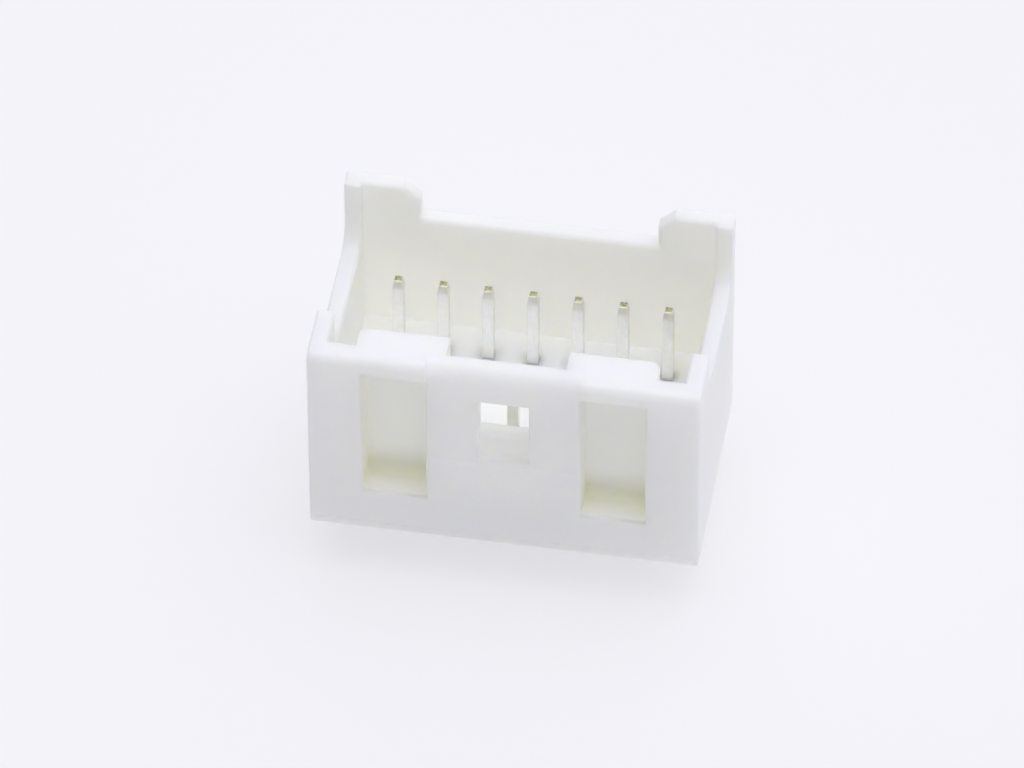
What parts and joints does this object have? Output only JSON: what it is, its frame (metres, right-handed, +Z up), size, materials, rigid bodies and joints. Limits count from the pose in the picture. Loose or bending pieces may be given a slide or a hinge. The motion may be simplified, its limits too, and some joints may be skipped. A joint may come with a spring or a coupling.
{
  "type": "shrouded pin header",
  "caption": "Upright board header with two rows of square tin-plated pins in a white moulded shroud with a latch window, coding keys and raised corner ears.",
  "frame": {"origin": "middle of the pin field, on the housing face that sits on the board", "axes": "+X along the rows, +Y from the latch face to the back, +Z up from the board"},
  "size_m": [0.0172, 0.0104, 0.0143],
  "materials": {
    "white_plastic": "natural white moulded nylon, satin",
    "tinned_pin": "bright tin plate over brass, bare brass at the sheared ends"
  },
  "bodies": {
    "root": {"housing": "white_plastic", "front_pin_1": "tinned_pin", "front_pin_2": "tinned_pin", "front_pin_3": "tinned_pin", "front_pin_4": "tinned_pin", "front_pin_5": "tinned_pin", "front_pin_6": "tinned_pin", "front_pin_7": "tinned_pin", "back_pin_1": "tinned_pin", "back_pin_2": "tinned_pin", "back_pin_3": "tinned_pin", "back_pin_4": "tinned_pin", "back_pin_5": "tinned_pin", "back_pin_6": "tinned_pin", "back_pin_7": "tinned_pin"}
  },
  "joints": []
}
